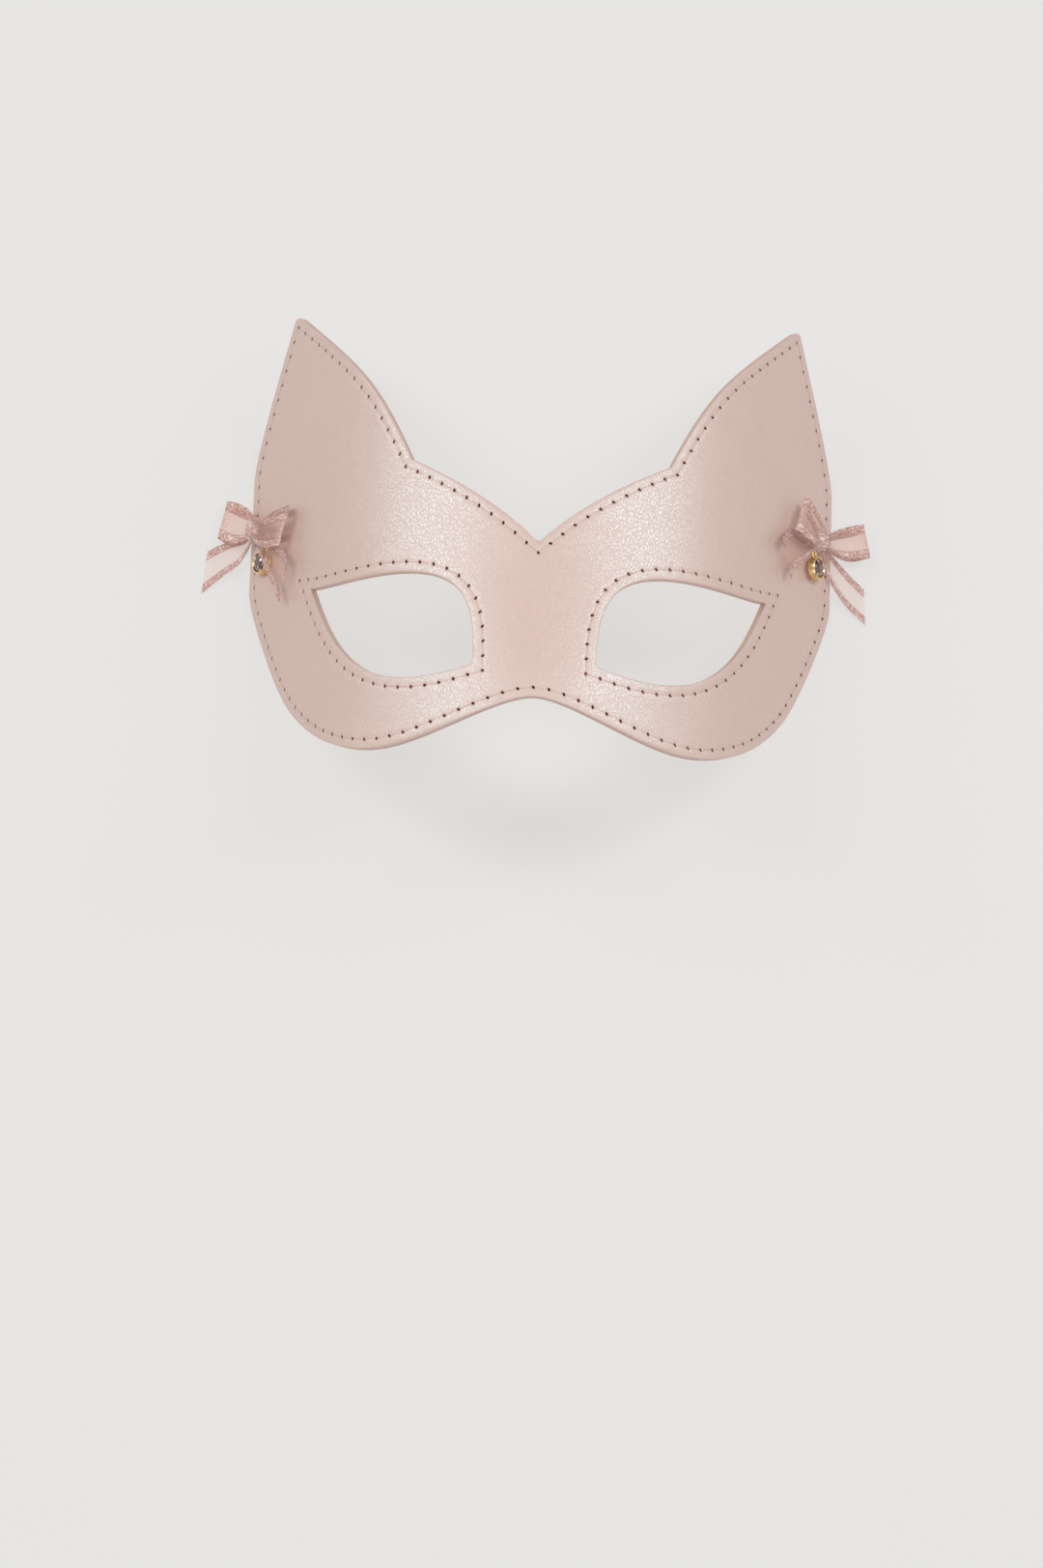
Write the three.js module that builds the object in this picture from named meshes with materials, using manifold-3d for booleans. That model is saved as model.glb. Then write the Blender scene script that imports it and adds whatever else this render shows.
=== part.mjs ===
// A half-face cat mask: two plies of soft leather bent round the face, with a ribbon bow and a small
// crystal in a gold setting on each cheek. It lies face up on the lower edges of its two wings.
// Units are millimetres. +Z points out of the face, +Y towards the ears, +X to the right as seen
// from the front. The origin lies on the floor, under the middle of the mask.
import * as THREE from "three";
import { mergeVertices } from "three/addons/utils/BufferGeometryUtils.js";
import Module from "manifold-3d";

const wasm = await Module();
wasm.setup();

// The bend: an arc over the face, then a flat wing on each side.
const FACE_RADIUS = 75;
const WING_ANGLE = THREE.MathUtils.degToRad(53);
const WING_START = FACE_RADIUS * WING_ANGLE;
const ARC_STEPS = 18;

// The bridge rises a little over the nose, and the rise fades sideways and towards the brow.
const BRIDGE_RISE = 2.8;
const BRIDGE_HALF_WIDTH = 50;
const BRIDGE_TOP = 10;
const BRIDGE_FOOT = -35;
const BRIDGE_ROW = 9;

// The plies.
const FRONT_LEATHER = 1.2;
const GLUE_LINE = 0.1;
const LINING_LEATHER = 1.1;
const LEATHER = FRONT_LEATHER + GLUE_LINE + LINING_LEATHER;

// The flat pattern of the right half. Its first axis runs outwards from the bridge along the leather
// and its second axis runs up towards the ears.
const NOTCH = [0, 8.3];
const BROW = [2.6, 10.3];
const EAR_NOTCH = [36.4, 32.7];
const EAR_TIP_IN = [83.5, 83];
const EAR_TIP_OUT = [86.4, 82.5];
const SIDE_REACH = 103;
const SIDE_TOP = 40;
const SIDE_FOOT = 8;
const CHEEK = [85.5, -24.6];
const LOBE = [43, -46.8];
const NOSE = [0, -35.6];
const EYE_INNER = [16.6, -24.3];
const EYE_INNER_FOOT = [19, -26.8];
const EYE_TOP = [30, -0.1];
const EYE_OUTER = [73, 2.6];
const CURVE_STEPS = 9;

// The ribbons and the hanging crystals.
const RIBBON_WIDTH = 10;
const RIBBON_THICKNESS = 0.4;
const RIBBON_PINCH = 0.36;
const KNOT_SIZE = [2.1, 3, 2];
const CLEARANCE = 0.3;
const SETTING_RADIUS = 3.3;
const SETTING_WALL = 0.55;
const SETTING_FLOOR = 0.6;
const SETTING_HEIGHT = 2.2;
const LUG_RADIUS = 0.9;
const LUG_WIRE = 0.3;
const CRYSTAL_SIDES = 12;
const CRYSTAL_CROWN = 0.8;
const CRYSTAL_TABLE = 1.45;

const PATTERN_MIDDLE = (83.4 + LOBE[1]) / 2;
const SIDE_DROP =
  FACE_RADIUS * (1 - Math.cos(WING_ANGLE)) + (SIDE_REACH - WING_START) * Math.sin(WING_ANGLE);
const RIDGE_HEIGHT = SIDE_DROP + LEATHER * Math.cos(WING_ANGLE);

const leatherPink = new THREE.MeshStandardMaterial({ color: 0xd3b5aa, roughness: 0.48, metalness: 0 });
const liningPink = new THREE.MeshStandardMaterial({ color: 0xcdb0a4, roughness: 0.7, metalness: 0 });
const ribbonRose = new THREE.MeshStandardMaterial({ color: 0xc9988e, roughness: 0.4, metalness: 0 });
const gold = new THREE.MeshStandardMaterial({ color: 0xd9a441, roughness: 0.22, metalness: 1 });
const smokyCrystal = new THREE.MeshStandardMaterial({ color: 0x4a3b3a, roughness: 0.05, metalness: 0 });

const smooth = (t) => t * t * (3 - 2 * t);

// The bridge's rise at a place on the pattern: a smooth step upwards towards the nose, times a
// squared cosine across.
function bridgeRise(out, up) {
  const towardsNose = THREE.MathUtils.clamp((BRIDGE_TOP - up) / (BRIDGE_TOP - BRIDGE_FOOT), 0, 1);
  const across = Math.min(Math.abs(out) / BRIDGE_HALF_WIDTH, 1);
  return BRIDGE_RISE * smooth(towardsNose) * Math.cos((Math.PI / 2) * across) ** 2;
}

// The bent surface at a place on the pattern, before it is raised along its normal.
function bent(out, up) {
  const side = Math.sign(out);
  const angle = Math.min(Math.abs(out) / FACE_RADIUS, WING_ANGLE);
  const wing = Math.max(Math.abs(out) - WING_START, 0);
  const x = side * (FACE_RADIUS * Math.sin(angle) + wing * Math.cos(WING_ANGLE));
  const drop = FACE_RADIUS * (1 - Math.cos(angle)) + wing * Math.sin(WING_ANGLE);
  return new THREE.Vector3(x, up - PATTERN_MIDDLE, RIDGE_HEIGHT - drop + bridgeRise(out, up));
}

// The same place raised by a height along the surface's normal, from two short steps on the surface.
function onLeather(out, up, height) {
  const step = 0.01;
  const across = bent(out + step, up).sub(bent(out - step, up));
  const along = bent(out, up + step).sub(bent(out, up - step));
  const normal = across.cross(along).normalize();
  return bent(out, up).addScaledVector(normal, height);
}

// The four edges of the right half as chains of points, each running outwards.
const topEdge = new THREE.Path()
  .moveTo(...NOTCH)
  .bezierCurveTo(0.9, 8.3, 1.6, 9.3, ...BROW)
  .bezierCurveTo(12, 19, 25, 27, ...EAR_NOTCH)
  .bezierCurveTo(50.5, 60, 58, 64, ...EAR_TIP_IN)
  .bezierCurveTo(84.6, 83.8, 86, 83.6, ...EAR_TIP_OUT)
  .bezierCurveTo(92, 70, SIDE_REACH, 47.5, SIDE_REACH, SIDE_TOP);
const bottomEdge = new THREE.Path()
  .moveTo(...NOSE)
  .bezierCurveTo(9, -35.5, 27.5, -46.9, ...LOBE)
  .bezierCurveTo(59, -47, 77.3, -36.1, ...CHEEK)
  .bezierCurveTo(90.5, -18.5, SIDE_REACH, 3, SIDE_REACH, SIDE_FOOT);
const eyeTopEdge = new THREE.Path()
  .moveTo(...EYE_INNER)
  .bezierCurveTo(EYE_INNER[0], -10.5, 19.5, -3, ...EYE_TOP)
  .bezierCurveTo(41.5, 3, 60, 0.6, ...EYE_OUTER);
const eyeBottomEdge = new THREE.Path()
  .moveTo(...EYE_INNER)
  .bezierCurveTo(EYE_INNER[0], -26, 17.6, -26.6, ...EYE_INNER_FOOT)
  .bezierCurveTo(49.5, -34.7, 63.6, -14.2, ...EYE_OUTER);
const chains = [topEdge, eyeTopEdge, eyeBottomEdge, bottomEdge].map((path) => path.getPoints(CURVE_STEPS));

// The stretch of a chain between two places, with a point made on each of them.
function stretch(chain, from, to) {
  const at = (out) => {
    const next = chain.findIndex((p) => p.x >= out - 1e-9);
    const b = chain[next];
    const a = chain[Math.max(next - 1, 0)];
    const share = b.x - a.x > 1e-9 ? (out - a.x) / (b.x - a.x) : 1;
    return new THREE.Vector2(out, THREE.MathUtils.lerp(a.y, b.y, share));
  };
  const inside = chain.filter((p) => p.x > from + 1e-6 && p.x < to - 1e-6);
  return [at(from), ...inside, at(to)];
}

// The points on a column's straight side, from low to high: where the bridge's rows cross it, and a
// corner of the eye that lies on it.
function sidePoints(out, low, high) {
  const corners = [EYE_INNER, EYE_OUTER].filter(([corner]) => Math.abs(corner - out) < 1e-6);
  const levels = corners.map(([, up]) => up);
  for (let up = BRIDGE_FOOT - BRIDGE_ROW; up < BRIDGE_TOP + BRIDGE_ROW; up += BRIDGE_ROW)
    if (out < BRIDGE_HALF_WIDTH && levels.every((level) => Math.abs(level - up) > 1)) levels.push(up);
  levels.sort((a, b) => a - b);
  return levels.filter((up) => up > low + 0.5 && up < high - 0.5).map((up) => new THREE.Vector2(out, up));
}

// One column of the pattern between an upper and a lower chain, cut across at every level that both
// of its sides have, as a list of closed outlines from low to high.
function column(upper, lower, from, to) {
  const top = stretch(upper, from, to);
  const bottom = stretch(lower, from, to);
  const right = sidePoints(to, bottom.at(-1).y, top.at(-1).y);
  const left = sidePoints(from, bottom[0].y, top[0].y);
  const shared = right.map((p) => p.y).filter((up) => left.some((q) => Math.abs(q.y - up) < 1e-6));
  const outlines = [];
  let low = -Infinity;
  let under = bottom;
  for (const high of [...shared, Infinity]) {
    const over = high === Infinity ? top : [new THREE.Vector2(from, high), new THREE.Vector2(to, high)];
    const between = (points) => points.filter((p) => p.y > low + 1e-6 && p.y < high - 1e-6);
    const outline = [...under, ...between(right), ...over.toReversed(), ...between(left).reverse()];
    outlines.push(outline.filter((p, i) => p.distanceTo(outline[(i + 1) % outline.length]) > 1e-6));
    low = high;
    under = over;
  }
  return outlines;
}

// The pattern's triangles: columns of the right half and their mirror images on the left.
function patternTriangles() {
  const [top, eyeTop, eyeBottom, bottom] = chains;
  const lines = Array.from({ length: ARC_STEPS + 1 }, (_, i) => (WING_START * i) / ARC_STEPS);
  lines.push(EYE_INNER[0], EYE_OUTER[0], SIDE_REACH);
  lines.sort((a, b) => a - b);
  const triangles = [];
  for (let i = 0; i + 1 < lines.length; i++) {
    const [from, to] = [lines[i], lines[i + 1]];
    const beside = to <= EYE_INNER[0] + 1e-9 || from >= EYE_OUTER[0] - 1e-9;
    const pairs = beside ? [[top, bottom]] : [[top, eyeTop], [eyeBottom, bottom]];
    for (const outline of pairs.flatMap(([upper, lower]) => column(upper, lower, from, to))) {
      for (const face of THREE.ShapeUtils.triangulateShape(outline, [])) {
        const right = face.map((k) => outline[k]);
        const area = right[1].clone().sub(right[0]).cross(right[2].clone().sub(right[0]));
        if (area < 0) right.reverse();
        const left = right.map((p) => new THREE.Vector2(-p.x, p.y)).reverse();
        triangles.push(right, left);
      }
    }
  }
  return triangles;
}

// A ply is the pattern between two heights above the bent surface: an outer face, an inner face
// turned round, and a wall along every edge that only one triangle has.
function ply(triangles, outer, inner) {
  const points = [];
  const numbers = new Map();
  const numberOf = (p) => {
    const key = Math.round(p.x * 1e4) + "," + Math.round(p.y * 1e4);
    if (!numbers.has(key)) numbers.set(key, points.push(p) - 1);
    return numbers.get(key);
  };
  const faces = triangles.map((triangle) => triangle.map(numberOf));
  const edges = new Set();
  for (const [a, b, c] of faces) {
    for (const edge of [[a, b], [b, c], [c, a]]) edges.add(edge.join(","));
  }
  const under = points.length;
  const index = [];
  for (const [a, b, c] of faces) {
    index.push(a, b, c);
    index.push(under + c, under + b, under + a);
  }
  for (const edge of edges) {
    const [a, b] = edge.split(",").map(Number);
    if (edges.has(b + "," + a)) continue;
    index.push(b, a, under + a);
    index.push(b, under + a, under + b);
  }
  const places = [outer, inner].flatMap((height) => points.map((p) => onLeather(p.x, p.y, height)));
  return new THREE.BufferGeometry().setFromPoints(places).setIndex(index);
}

// A closed three.js geometry as a solid that can be joined, and back.
function solid(geometry) {
  const bare = geometry.index ? geometry.toNonIndexed() : geometry.clone();
  bare.deleteAttribute("normal");
  bare.deleteAttribute("uv");
  const merged = mergeVertices(bare, 1e-4);
  return new wasm.Manifold(
    new wasm.Mesh({
      numProp: 3,
      vertProperties: merged.attributes.position.array,
      triVerts: new Uint32Array(merged.index.array),
    }),
  );
}
function joined(geometries) {
  const mesh = geometries.map(solid).reduce((whole, piece) => whole.add(piece)).getMesh();
  return new THREE.BufferGeometry()
    .setAttribute("position", new THREE.BufferAttribute(mesh.vertProperties, 3))
    .setIndex(new THREE.BufferAttribute(mesh.triVerts, 1));
}

// A flat ribbon one unit long, carried to its place by a function of the place across it, through
// its thickness and along it.
function ribbon(lengthSteps, place) {
  const flat = new THREE.BoxGeometry(1, 1, 1, 2, 1, lengthSteps);
  const position = flat.attributes.position;
  for (let i = 0; i < position.count; i++) {
    const p = place(position.getX(i), position.getY(i), position.getZ(i) + 0.5);
    position.setXYZ(i, p.x, p.y, p.z);
  }
  return flat;
}

// The ribbon's own directions between two points: along, out of the face that it shows, across.
function directions(from, to, facing) {
  const along = to.clone().sub(from);
  const length = along.length();
  along.normalize();
  const out = facing.clone().addScaledVector(along, -facing.dot(along)).normalize();
  return { along, out, across: out.clone().cross(along), length };
}

// A loop runs out from the knot and back under itself: half a cosine along, a sine apart, and
// gathered narrow at the knot.
function loop({ from, to, facing, puff, slant = 0, width = 1 }) {
  const { along, out, across, length } = directions(from, to, facing);
  const route = (t) => {
    const phi = 2 * Math.PI * t;
    const reach = (1 - Math.cos(phi)) / 2;
    const apart = puff * Math.sin(phi) * Math.sqrt(reach) + 1.1 * RIBBON_THICKNESS * Math.cos(phi / 2);
    return new THREE.Vector2(length * reach, apart);
  };
  return ribbon(20, (x, y, z) => {
    const reach = (1 - Math.cos(2 * Math.PI * z)) / 2;
    const tangent = route(z + 0.002).sub(route(z - 0.002)).normalize();
    const place = route(z).addScaledVector(new THREE.Vector2(-tangent.y, tangent.x), y * RIBBON_THICKNESS);
    const wide = x * RIBBON_WIDTH * width * (RIBBON_PINCH + (1 - RIBBON_PINCH) * Math.sqrt(reach));
    return from
      .clone()
      .addScaledVector(along, place.x + wide * slant * reach)
      .addScaledVector(out, place.y)
      .addScaledVector(across, wide);
  });
}

// A tail runs from the knot to its slanted cut end, opens out from the knot, and sinks or rises in a
// bow on the way.
function tail({ from, to, facing, slant, arch = 0, sway = 0, width = 1 }) {
  const { along, out, across, length } = directions(from, to, facing);
  return ribbon(8, (x, y, z) => {
    const open = RIBBON_PINCH + (1 - RIBBON_PINCH) * smooth(Math.min(z / 0.6, 1));
    const wide = x * RIBBON_WIDTH * width * open;
    return from
      .clone()
      .addScaledVector(along, length * z + wide * slant * z)
      .addScaledVector(out, y * RIBBON_THICKNESS + arch * Math.sin(Math.PI * z))
      .addScaledVector(across, wide + sway * Math.sin(Math.PI * z));
  });
}

function knot(centre, facing) {
  const turn = new THREE.Quaternion().setFromUnitVectors(new THREE.Vector3(0, 0, 1), facing);
  return new THREE.SphereGeometry(1, 16, 10)
    .scale(...KNOT_SIZE)
    .applyQuaternion(turn)
    .translate(centre.x, centre.y, centre.z);
}

// One bow on the wing of a side: loops and tails on the wing are given by their places on the
// pattern and heights above it, and those beyond the edge by their places in space.
function bow(side, { knotAt, innerLoop, outerLoop, innerTail, outerTail }) {
  const wingNormal = new THREE.Vector3(side * Math.sin(WING_ANGLE), 0, Math.cos(WING_ANGLE));
  const up = new THREE.Vector3(side * 0.25, 0, 1).normalize();
  const onWing = ([out, height, above]) => onLeather(side * out, height, above);
  const centre = onWing(knotAt);
  return joined([
    knot(centre, wingNormal),
    loop({ ...innerLoop, from: centre, to: onWing(innerLoop.to), facing: wingNormal }),
    loop({ ...outerLoop, from: centre, to: new THREE.Vector3(...outerLoop.to), facing: up }),
    tail({ ...innerTail, from: centre, to: onWing(innerTail.to), facing: wingNormal }),
    tail({ ...outerTail, from: centre, to: new THREE.Vector3(...outerTail.to), facing: up }),
  ]);
}

// The setting is a round cup with a wire lug, and the crystal a cone with a flat top in it. Both
// are turned on the Z axis and then laid on the wing.
function settingShape() {
  const cup = new THREE.LatheGeometry(
    [
      [0, 0],
      [SETTING_RADIUS - 0.4, 0],
      [SETTING_RADIUS, 0.5],
      [SETTING_RADIUS, SETTING_HEIGHT - 0.3],
      [SETTING_RADIUS - 0.25, SETTING_HEIGHT],
      [SETTING_RADIUS - SETTING_WALL, SETTING_HEIGHT],
      [SETTING_RADIUS - SETTING_WALL, SETTING_FLOOR],
      [0, SETTING_FLOOR],
    ].map(([radius, height]) => new THREE.Vector2(radius, height)),
    28,
  ).rotateX(Math.PI / 2);
  const lug = new THREE.TorusGeometry(LUG_RADIUS, LUG_WIRE, 6, 14)
    .translate(0, SETTING_RADIUS + LUG_RADIUS - LUG_WIRE / 2, SETTING_HEIGHT / 2);
  return joined([cup, lug]);
}
function crystalShape() {
  const girdle = SETTING_RADIUS - SETTING_WALL - CLEARANCE;
  const foot = SETTING_FLOOR + CLEARANCE;
  return new THREE.LatheGeometry(
    [
      [0, foot],
      [girdle * 0.8, foot],
      [girdle, SETTING_HEIGHT - 0.2],
      [CRYSTAL_TABLE, SETTING_HEIGHT - 0.2 + CRYSTAL_CROWN],
      [0, SETTING_HEIGHT - 0.2 + CRYSTAL_CROWN],
    ].map(([radius, height]) => new THREE.Vector2(radius, height)),
    CRYSTAL_SIDES,
  ).rotateX(Math.PI / 2);
}

function mesh(name, geometry, material) {
  const made = new THREE.Mesh(geometry, material);
  made.name = name;
  return made;
}

// A hanging crystal on the wing of a side: a group that stands on the leather at its place, turned
// so that its lug points to the knot. It can lean outwards, off the leather on its inner side.
function pendant(sideName, side, [out, height], turn, lean) {
  const group = new THREE.Group();
  group.position.copy(onLeather(side * out, height, CLEARANCE + SETTING_RADIUS * Math.sin(lean)));
  group.rotation.set(0, side * (WING_ANGLE + lean), side * turn, "YZX");
  group.add(mesh("setting_" + sideName, settingShape(), gold));
  group.add(mesh("crystal_" + sideName, crystalShape(), smokyCrystal));
  return group;
}

// The two bows are tied by hand, so each has its own places.
const leftBow = {
  knotAt: [99.6, 24.8, 2.6],
  innerLoop: { to: [83, 21.6, 3.2], puff: 1.5 },
  outerLoop: { to: [-88.4, 10.2, 3.4], puff: 1.4, slant: -0.15 },
  innerTail: { to: [81.8, 5, 2.9], slant: -0.5, arch: 1, sway: 2.6 },
  outerTail: { to: [-92.4, -4.6, 1.1], slant: 0.8, arch: 0.4, width: 0.9 },
};
const rightBow = {
  knotAt: [95.8, 25.4, 2.6],
  innerLoop: { to: [83.6, 30.6, 3.6], puff: 1.5 },
  outerLoop: { to: [90, 9.7, 3.6], puff: 1.4 },
  innerTail: { to: [77.8, 16.2, 2.8], slant: 0.05, arch: 0.8, sway: -2 },
  outerTail: { to: [89.6, -8.8, 1.1], slant: -0.9, arch: 0.4, width: 0.9 },
};

const triangles = patternTriangles();
const liningTop = -FRONT_LEATHER - GLUE_LINE;
const mask = new THREE.Group();
mask.add(mesh("leather_front", ply(triangles, 0, -FRONT_LEATHER), leatherPink));
mask.add(mesh("leather_lining", ply(triangles, liningTop, -LEATHER), liningPink));
mask.add(mesh("bow_left", bow(-1, leftBow), ribbonRose));
mask.add(mesh("bow_right", bow(1, rightBow), ribbonRose));
mask.add(pendant("left", -1, [94.9, 14.7], 0.35, 0));
mask.add(pendant("right", 1, [93.1, 17.6], 0.35, 0.14));

export default mask;
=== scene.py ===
"""A half-face cat mask of soft pink leather, lying face up, with a ribbon bow and a small crystal in a
gold setting on each cheek. Shapes are worked out in millimetres and put into the meshes in metres."""
import math

import bpy
import numpy as np
from mathutils import Euler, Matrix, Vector
from mathutils.geometry import delaunay_2d_cdt


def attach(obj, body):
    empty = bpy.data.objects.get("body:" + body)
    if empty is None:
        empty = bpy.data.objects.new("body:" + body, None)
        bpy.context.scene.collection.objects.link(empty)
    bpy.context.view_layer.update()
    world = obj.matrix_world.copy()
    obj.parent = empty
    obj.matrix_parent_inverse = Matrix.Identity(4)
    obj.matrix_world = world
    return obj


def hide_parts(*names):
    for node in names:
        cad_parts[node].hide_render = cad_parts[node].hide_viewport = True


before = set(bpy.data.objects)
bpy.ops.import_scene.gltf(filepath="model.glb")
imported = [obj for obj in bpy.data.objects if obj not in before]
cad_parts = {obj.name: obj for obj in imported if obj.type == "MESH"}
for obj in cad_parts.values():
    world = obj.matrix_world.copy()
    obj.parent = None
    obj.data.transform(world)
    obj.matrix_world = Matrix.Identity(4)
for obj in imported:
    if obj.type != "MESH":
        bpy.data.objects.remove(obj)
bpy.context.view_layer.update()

MM = 0.001

# The bend of the leather: an arc over the face, then a flat wing on each side.
FACE_RADIUS = 75.0
WING_ANGLE = math.radians(53)
WING_START = FACE_RADIUS * WING_ANGLE
BRIDGE_RISE = 2.8
BRIDGE_HALF_WIDTH = 50.0
BRIDGE_TOP = 10.0
BRIDGE_FOOT = -35.0
FRONT_LEATHER = 1.2
GLUE_LINE = 0.1
LINING_LEATHER = 1.1
LEATHER = FRONT_LEATHER + GLUE_LINE + LINING_LEATHER

# The flat pattern of the right half: outwards along the leather, and up towards the ears.
NOTCH = (0, 8.3)
BROW = (2.6, 10.3)
EAR_NOTCH = (36.4, 32.7)
EAR_TIP_IN = (83.5, 83)
EAR_TIP_OUT = (86.4, 82.5)
EAR_TOP = 83.4  # the highest place of the ear's rounded tip
SIDE_REACH = 103.0
SIDE_TOP = (SIDE_REACH, 40)
SIDE_FOOT = (SIDE_REACH, 8)
CHEEK = (85.5, -24.6)
LOBE = (43, -46.8)
NOSE = (0, -35.6)
EYE_INNER = (16.6, -24.3)
EYE_INNER_FOOT = (19, -26.8)
EYE_TOP = (30, -0.1)
EYE_OUTER = (73, 2.6)
PATTERN_MIDDLE = (EAR_TOP + LOBE[1]) / 2
RIDGE_HEIGHT = (
    FACE_RADIUS * (1 - math.cos(WING_ANGLE))
    + (SIDE_REACH - WING_START) * math.sin(WING_ANGLE)
    + LEATHER * math.cos(WING_ANGLE)
)

# The seam that joins the plies.
SEAM_FROM_EDGE = 2.5
SEAM_FROM_EYE = 2.8
NOTCH_HOLE = (0, 4.85)
STITCH = 4.18
HOLE_LONG = 0.45
HOLE_SHORT = 0.29
HOLE_SLANT = math.radians(40)
HOLE_DEPTH = 0.95
THREAD_RADIUS = 0.11
THREAD_IN_HOLE = -0.75
THREAD_ON_FACE = -0.05

# The camera, at the photo's viewing angle.
CAMERA_PLACE = (0.017775, -0.45728, 1.49351)
CAMERA_TURN = (14.8501, 0.28, 1.9624)
IMAGE_HEIGHT = 1623
FOCAL_PIXELS = 5850
SENSOR = 36.0


def make_camera():
    """A long lens that looks down on the mask."""
    data = bpy.data.cameras.new("camera")
    data.sensor_fit = "VERTICAL"
    data.sensor_height = SENSOR
    data.lens = FOCAL_PIXELS * SENSOR / IMAGE_HEIGHT
    data.clip_end = 20
    camera = bpy.data.objects.new("camera", data)
    camera.location = CAMERA_PLACE
    camera.rotation_euler = Euler([math.radians(a) for a in CAMERA_TURN])
    bpy.context.scene.collection.objects.link(camera)
    bpy.context.scene.camera = camera


make_camera()


# Numbers and meshes.
def smooth(t):
    """A smooth step from 0 to 1 as t goes from 0 to 1: three t squared less two t cubed."""
    t = np.clip(t, 0, 1)
    return t * t * (3 - 2 * t)


def unit(v):
    """Each vector divided by its length."""
    return v / np.maximum(np.linalg.norm(v, axis=-1, keepdims=True), 1e-12)


def bent(out, up):
    """Place on the bent leather of a place on the flat pattern: an arc across the face, then a flat
    wing; the bridge adds a smooth step towards the nose times a squared cosine across."""
    angle = np.minimum(np.abs(out) / FACE_RADIUS, WING_ANGLE)
    wing = np.maximum(np.abs(out) - WING_START, 0)
    x = np.sign(out) * (FACE_RADIUS * np.sin(angle) + wing * math.cos(WING_ANGLE))
    drop = FACE_RADIUS * (1 - np.cos(angle)) + wing * math.sin(WING_ANGLE)
    nose = smooth((BRIDGE_TOP - up) / (BRIDGE_TOP - BRIDGE_FOOT))
    across = np.minimum(np.abs(out) / BRIDGE_HALF_WIDTH, 1)
    rise = BRIDGE_RISE * nose * np.cos(np.pi / 2 * across) ** 2
    return np.stack([x, up - PATTERN_MIDDLE, RIDGE_HEIGHT - drop + rise], -1)


def on_leather(places, height):
    """The bent place raised by a height along the surface's normal, which is the cross product of two
    short steps on the surface."""
    out, up = np.asarray(places, float)[..., 0], np.asarray(places, float)[..., 1]
    step = 0.01
    across = bent(out + step, up) - bent(out - step, up)
    along = bent(out, up + step) - bent(out, up - step)
    return bent(out, up) + unit(np.cross(across, along)) * np.asarray(height)[..., None]


def make_piece(name, points, faces, material, uv=None, marks=None, sharp=None, domain="POINT"):
    """A mesh piece from points in millimetres and arrays of faces, with a UV place for each point, and
    marks with one number for each point or face. Edges sharper than an angle in degrees stay sharp, and
    an angle of 0 keeps every face flat."""
    mesh = bpy.data.meshes.new(name)
    sizes = np.concatenate([np.full(len(f), f.shape[1]) for f in faces])
    corners = np.concatenate([f.ravel() for f in faces]).astype(np.int32)
    mesh.vertices.add(len(points))
    mesh.vertices.foreach_set("co", (np.asarray(points) * MM).astype(np.float32).ravel())
    mesh.loops.add(len(corners))
    mesh.loops.foreach_set("vertex_index", corners)
    mesh.polygons.add(len(sizes))
    starts = np.concatenate([[0], np.cumsum(sizes)[:-1]]).astype(np.int32)
    mesh.polygons.foreach_set("loop_start", starts)
    mesh.update(calc_edges=True)
    mesh.validate()
    mesh.polygons.foreach_set("use_smooth", np.full(len(mesh.polygons), sharp != 0))
    if uv is not None:
        layer = mesh.uv_layers.new(name="pattern")
        found = np.zeros(len(mesh.loops), np.int32)
        mesh.loops.foreach_get("vertex_index", found)
        layer.uv.foreach_set("vector", uv[found].astype(np.float32).ravel())
    for key, values in (marks or {}).items():
        mark = mesh.attributes.new(key, "FLOAT", domain)
        mark.data.foreach_set("value", values.astype(np.float32))
    if sharp:
        mesh.set_sharp_from_angle(angle=math.radians(sharp))
    mesh.materials.append(material)
    piece = bpy.data.objects.new(name, mesh)
    bpy.context.scene.collection.objects.link(piece)
    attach(piece, "root")
    return piece


def grid_faces(rows, columns, wrap_rows=False, wrap_columns=False):
    """Four-sided faces of a grid of points numbered row by row, joined round where it wraps."""
    r = np.arange(rows if wrap_rows else rows - 1)[:, None]
    c = np.arange(columns if wrap_columns else columns - 1)[None, :]
    down, right = (r + 1) % rows, (c + 1) % columns
    quads = [r * columns + c, r * columns + right, down * columns + right, down * columns + c]
    return np.stack(np.broadcast_arrays(*quads), -1).reshape(-1, 4)


# The lines of the flat pattern.
def curve(*points, steps=60):
    """A chain of cubic curves through every third point: each is the sum of its four points, weighted
    by the products of t and 1 - t."""
    points = np.array(points, float)
    t = np.linspace(0, 1, steps + 1)[:, None]
    weights = [(1 - t) ** 3, 3 * t * (1 - t) ** 2, 3 * t * t * (1 - t), t**3]
    pieces = [
        sum(w * points[i + k] for k, w in enumerate(weights))[(1 if i else 0):]
        for i in range(0, len(points) - 1, 3)
    ]
    return np.concatenate(pieces)


def lengths_along(points):
    """The length of a line up to each of its points."""
    return np.concatenate([[0], np.cumsum(np.linalg.norm(np.diff(points, axis=0), axis=1))])


def spaced(points, step):
    """The same line with points at equal lengths of about a step."""
    along = lengths_along(points)
    at = np.linspace(0, along[-1], max(int(round(along[-1] / step)), 1) + 1)
    return np.stack([np.interp(at, along, points[:, k]) for k in (0, 1)], -1)


def right_of(points):
    """The unit normals on the right-hand side of a line, from the differences of its points."""
    direction = unit(np.gradient(points, axis=0))
    return np.stack([direction[:, 1], -direction[:, 0]], -1)


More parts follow.
